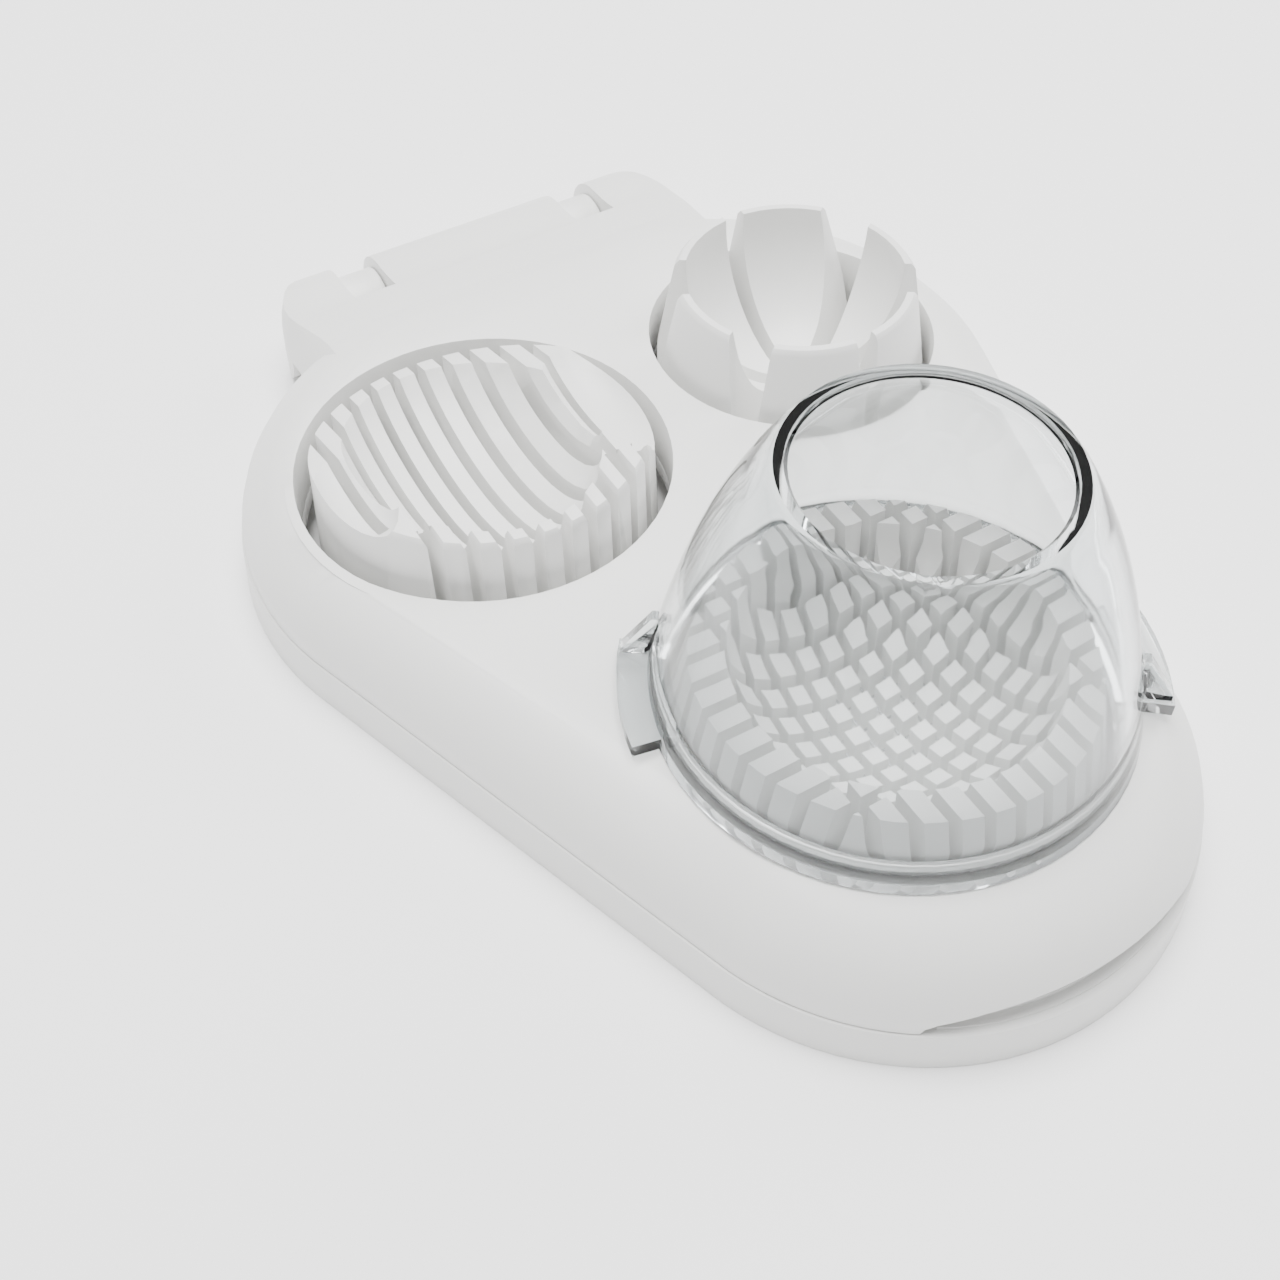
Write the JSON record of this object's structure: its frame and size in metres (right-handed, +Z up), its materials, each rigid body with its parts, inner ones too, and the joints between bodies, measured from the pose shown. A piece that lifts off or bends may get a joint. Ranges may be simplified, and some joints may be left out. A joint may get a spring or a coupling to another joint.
{
  "type": "egg slicer",
  "caption": "Hinged egg slicer: a low base with a slatted cup, a petal cup and a pin cup, and a lid with openings and wires that pass through them, with a clear dome.",
  "frame": {"origin": "centre of the bounding box on the surface the base stands on", "axes": "+Z up, -Y to the front edge with the finger scoop, +Y to the hinge, +X to the right when seen from the front"},
  "size_m": [0.145, 0.1999, 0.0666],
  "materials": {
    "white_plastic": "smooth white moulded plastic with a soft sheen",
    "steel": "stainless steel wire and pin",
    "clear_plastic": "clear glossy moulded plastic"
  },
  "bodies": {
    "base": {"base_shell": "white_plastic", "slicer_cup": "white_plastic", "wedger_cup": "white_plastic", "dicer_cup": "white_plastic", "hinge_pin_left": "steel", "hinge_pin_right": "steel"},
    "lid": {"lid_shell": "white_plastic", "slicer_wire_frame": "white_plastic", "wedger_wire_frame": "white_plastic", "dicer_wire_frame": "white_plastic", "slicer_wire_01": "steel", "slicer_wire_02": "steel", "slicer_wire_03": "steel", "slicer_wire_04": "steel", "slicer_wire_05": "steel", "slicer_wire_06": "steel", "slicer_wire_07": "steel", "slicer_wire_08": "steel", "slicer_wire_09": "steel", "wedger_wire_1": "steel", "wedger_wire_2": "steel", "wedger_wire_3": "steel", "dicer_wire_x_01": "steel", "dicer_wire_x_02": "steel", "dicer_wire_x_03": "steel", "dicer_wire_x_04": "steel", "dicer_wire_x_05": "steel", "dicer_wire_x_06": "steel", "dicer_wire_x_07": "steel", "dicer_wire_x_08": "steel", "dicer_wire_x_09": "steel", "dicer_wire_x_10": "steel", "dicer_wire_y_01": "steel", "dicer_wire_y_02": "steel", "dicer_wire_y_03": "steel", "dicer_wire_y_04": "steel", "dicer_wire_y_05": "steel", "dicer_wire_y_06": "steel", "dicer_wire_y_07": "steel", "dicer_wire_y_08": "steel", "dicer_wire_y_09": "steel", "dicer_wire_y_10": "steel"},
    "dome": {"clear_dome": "clear_plastic"}
  },
  "joints": [
    {"name": "lid_hinge", "type": "hinge", "parent": "base", "child": "lid", "pos_m": [0, 0.0913, 0.0089], "axis": [-1, 0, 0], "range_deg": [0, 105]},
    {"name": "dome_lift", "type": "slide", "parent": "lid", "child": "dome", "axis": [0, 0, 1], "range_m": [0, 0.06]}
  ]
}
